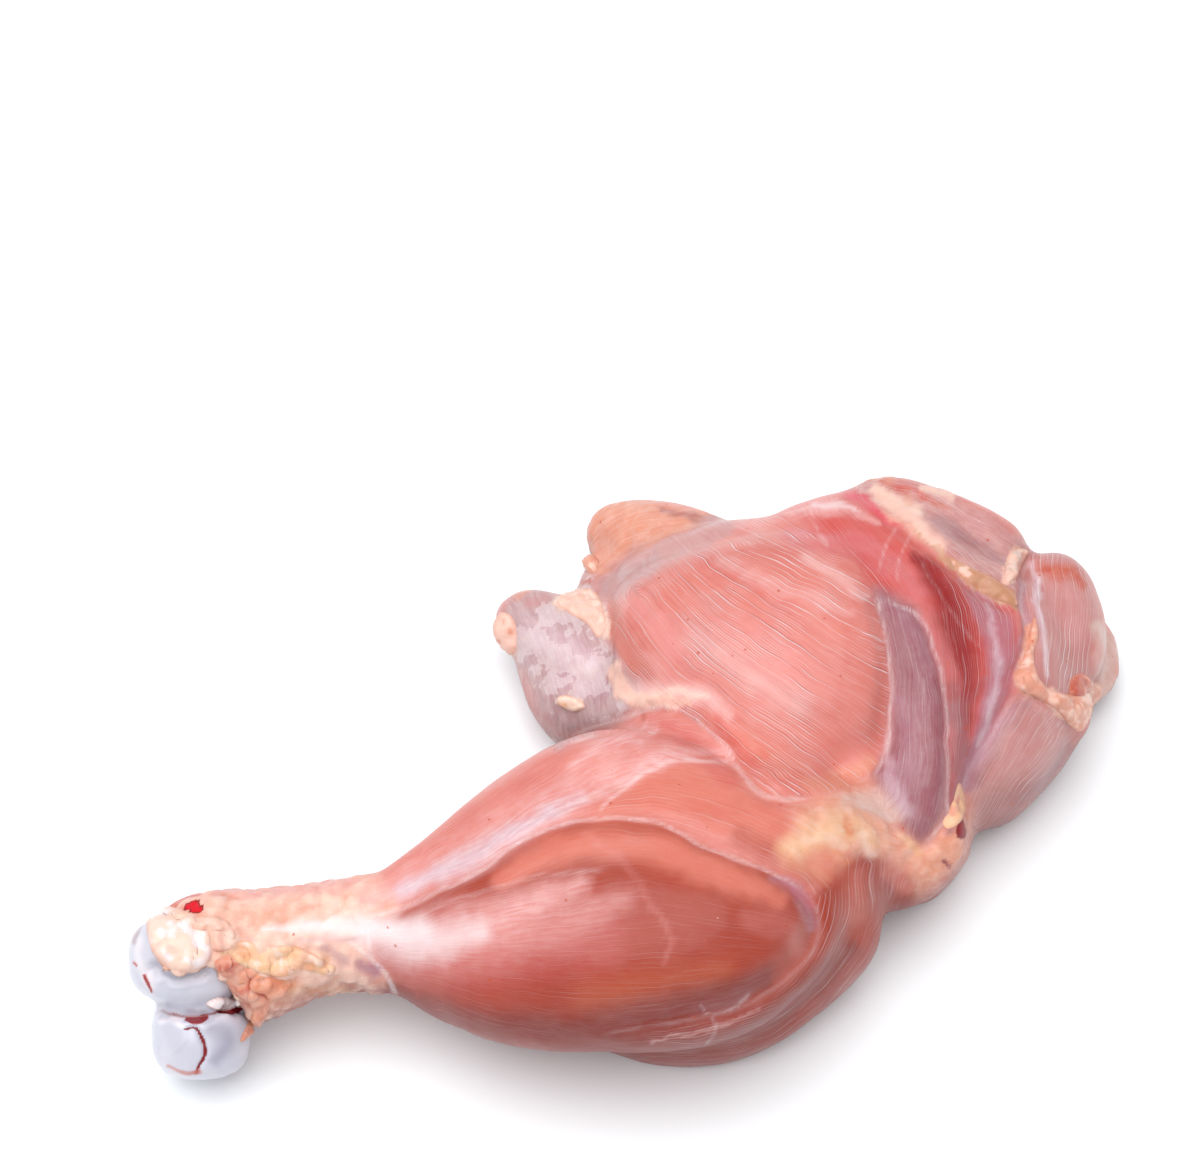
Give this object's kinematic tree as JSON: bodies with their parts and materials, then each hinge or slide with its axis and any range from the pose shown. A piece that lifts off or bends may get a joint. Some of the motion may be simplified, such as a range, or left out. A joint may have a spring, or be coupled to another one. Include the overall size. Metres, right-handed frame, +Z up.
{
  "type": "raw skinless chicken leg",
  "caption": "Raw chicken leg without skin, drumstick and thigh in one, lying bent with its outer muscles up and the cartilage knuckle bare at the hock.",
  "frame": {"origin": "centre of the leg's outline on the table plane", "axes": "+X from the hock along the leg to the hip end, +Y from the drumstick towards the thigh, +Z up from the table"},
  "size_m": [0.1747, 0.1245, 0.0429],
  "materials": {
    "raw_meat": "moist raw muscle, coral to deep red, under a thin wet film with white fascia and cream fat",
    "cartilage": "smooth wet cartilage, bluish white"
  },
  "bodies": {
    "root": {"meat": "raw_meat", "shin_bone": "cartilage"}
  },
  "joints": []
}
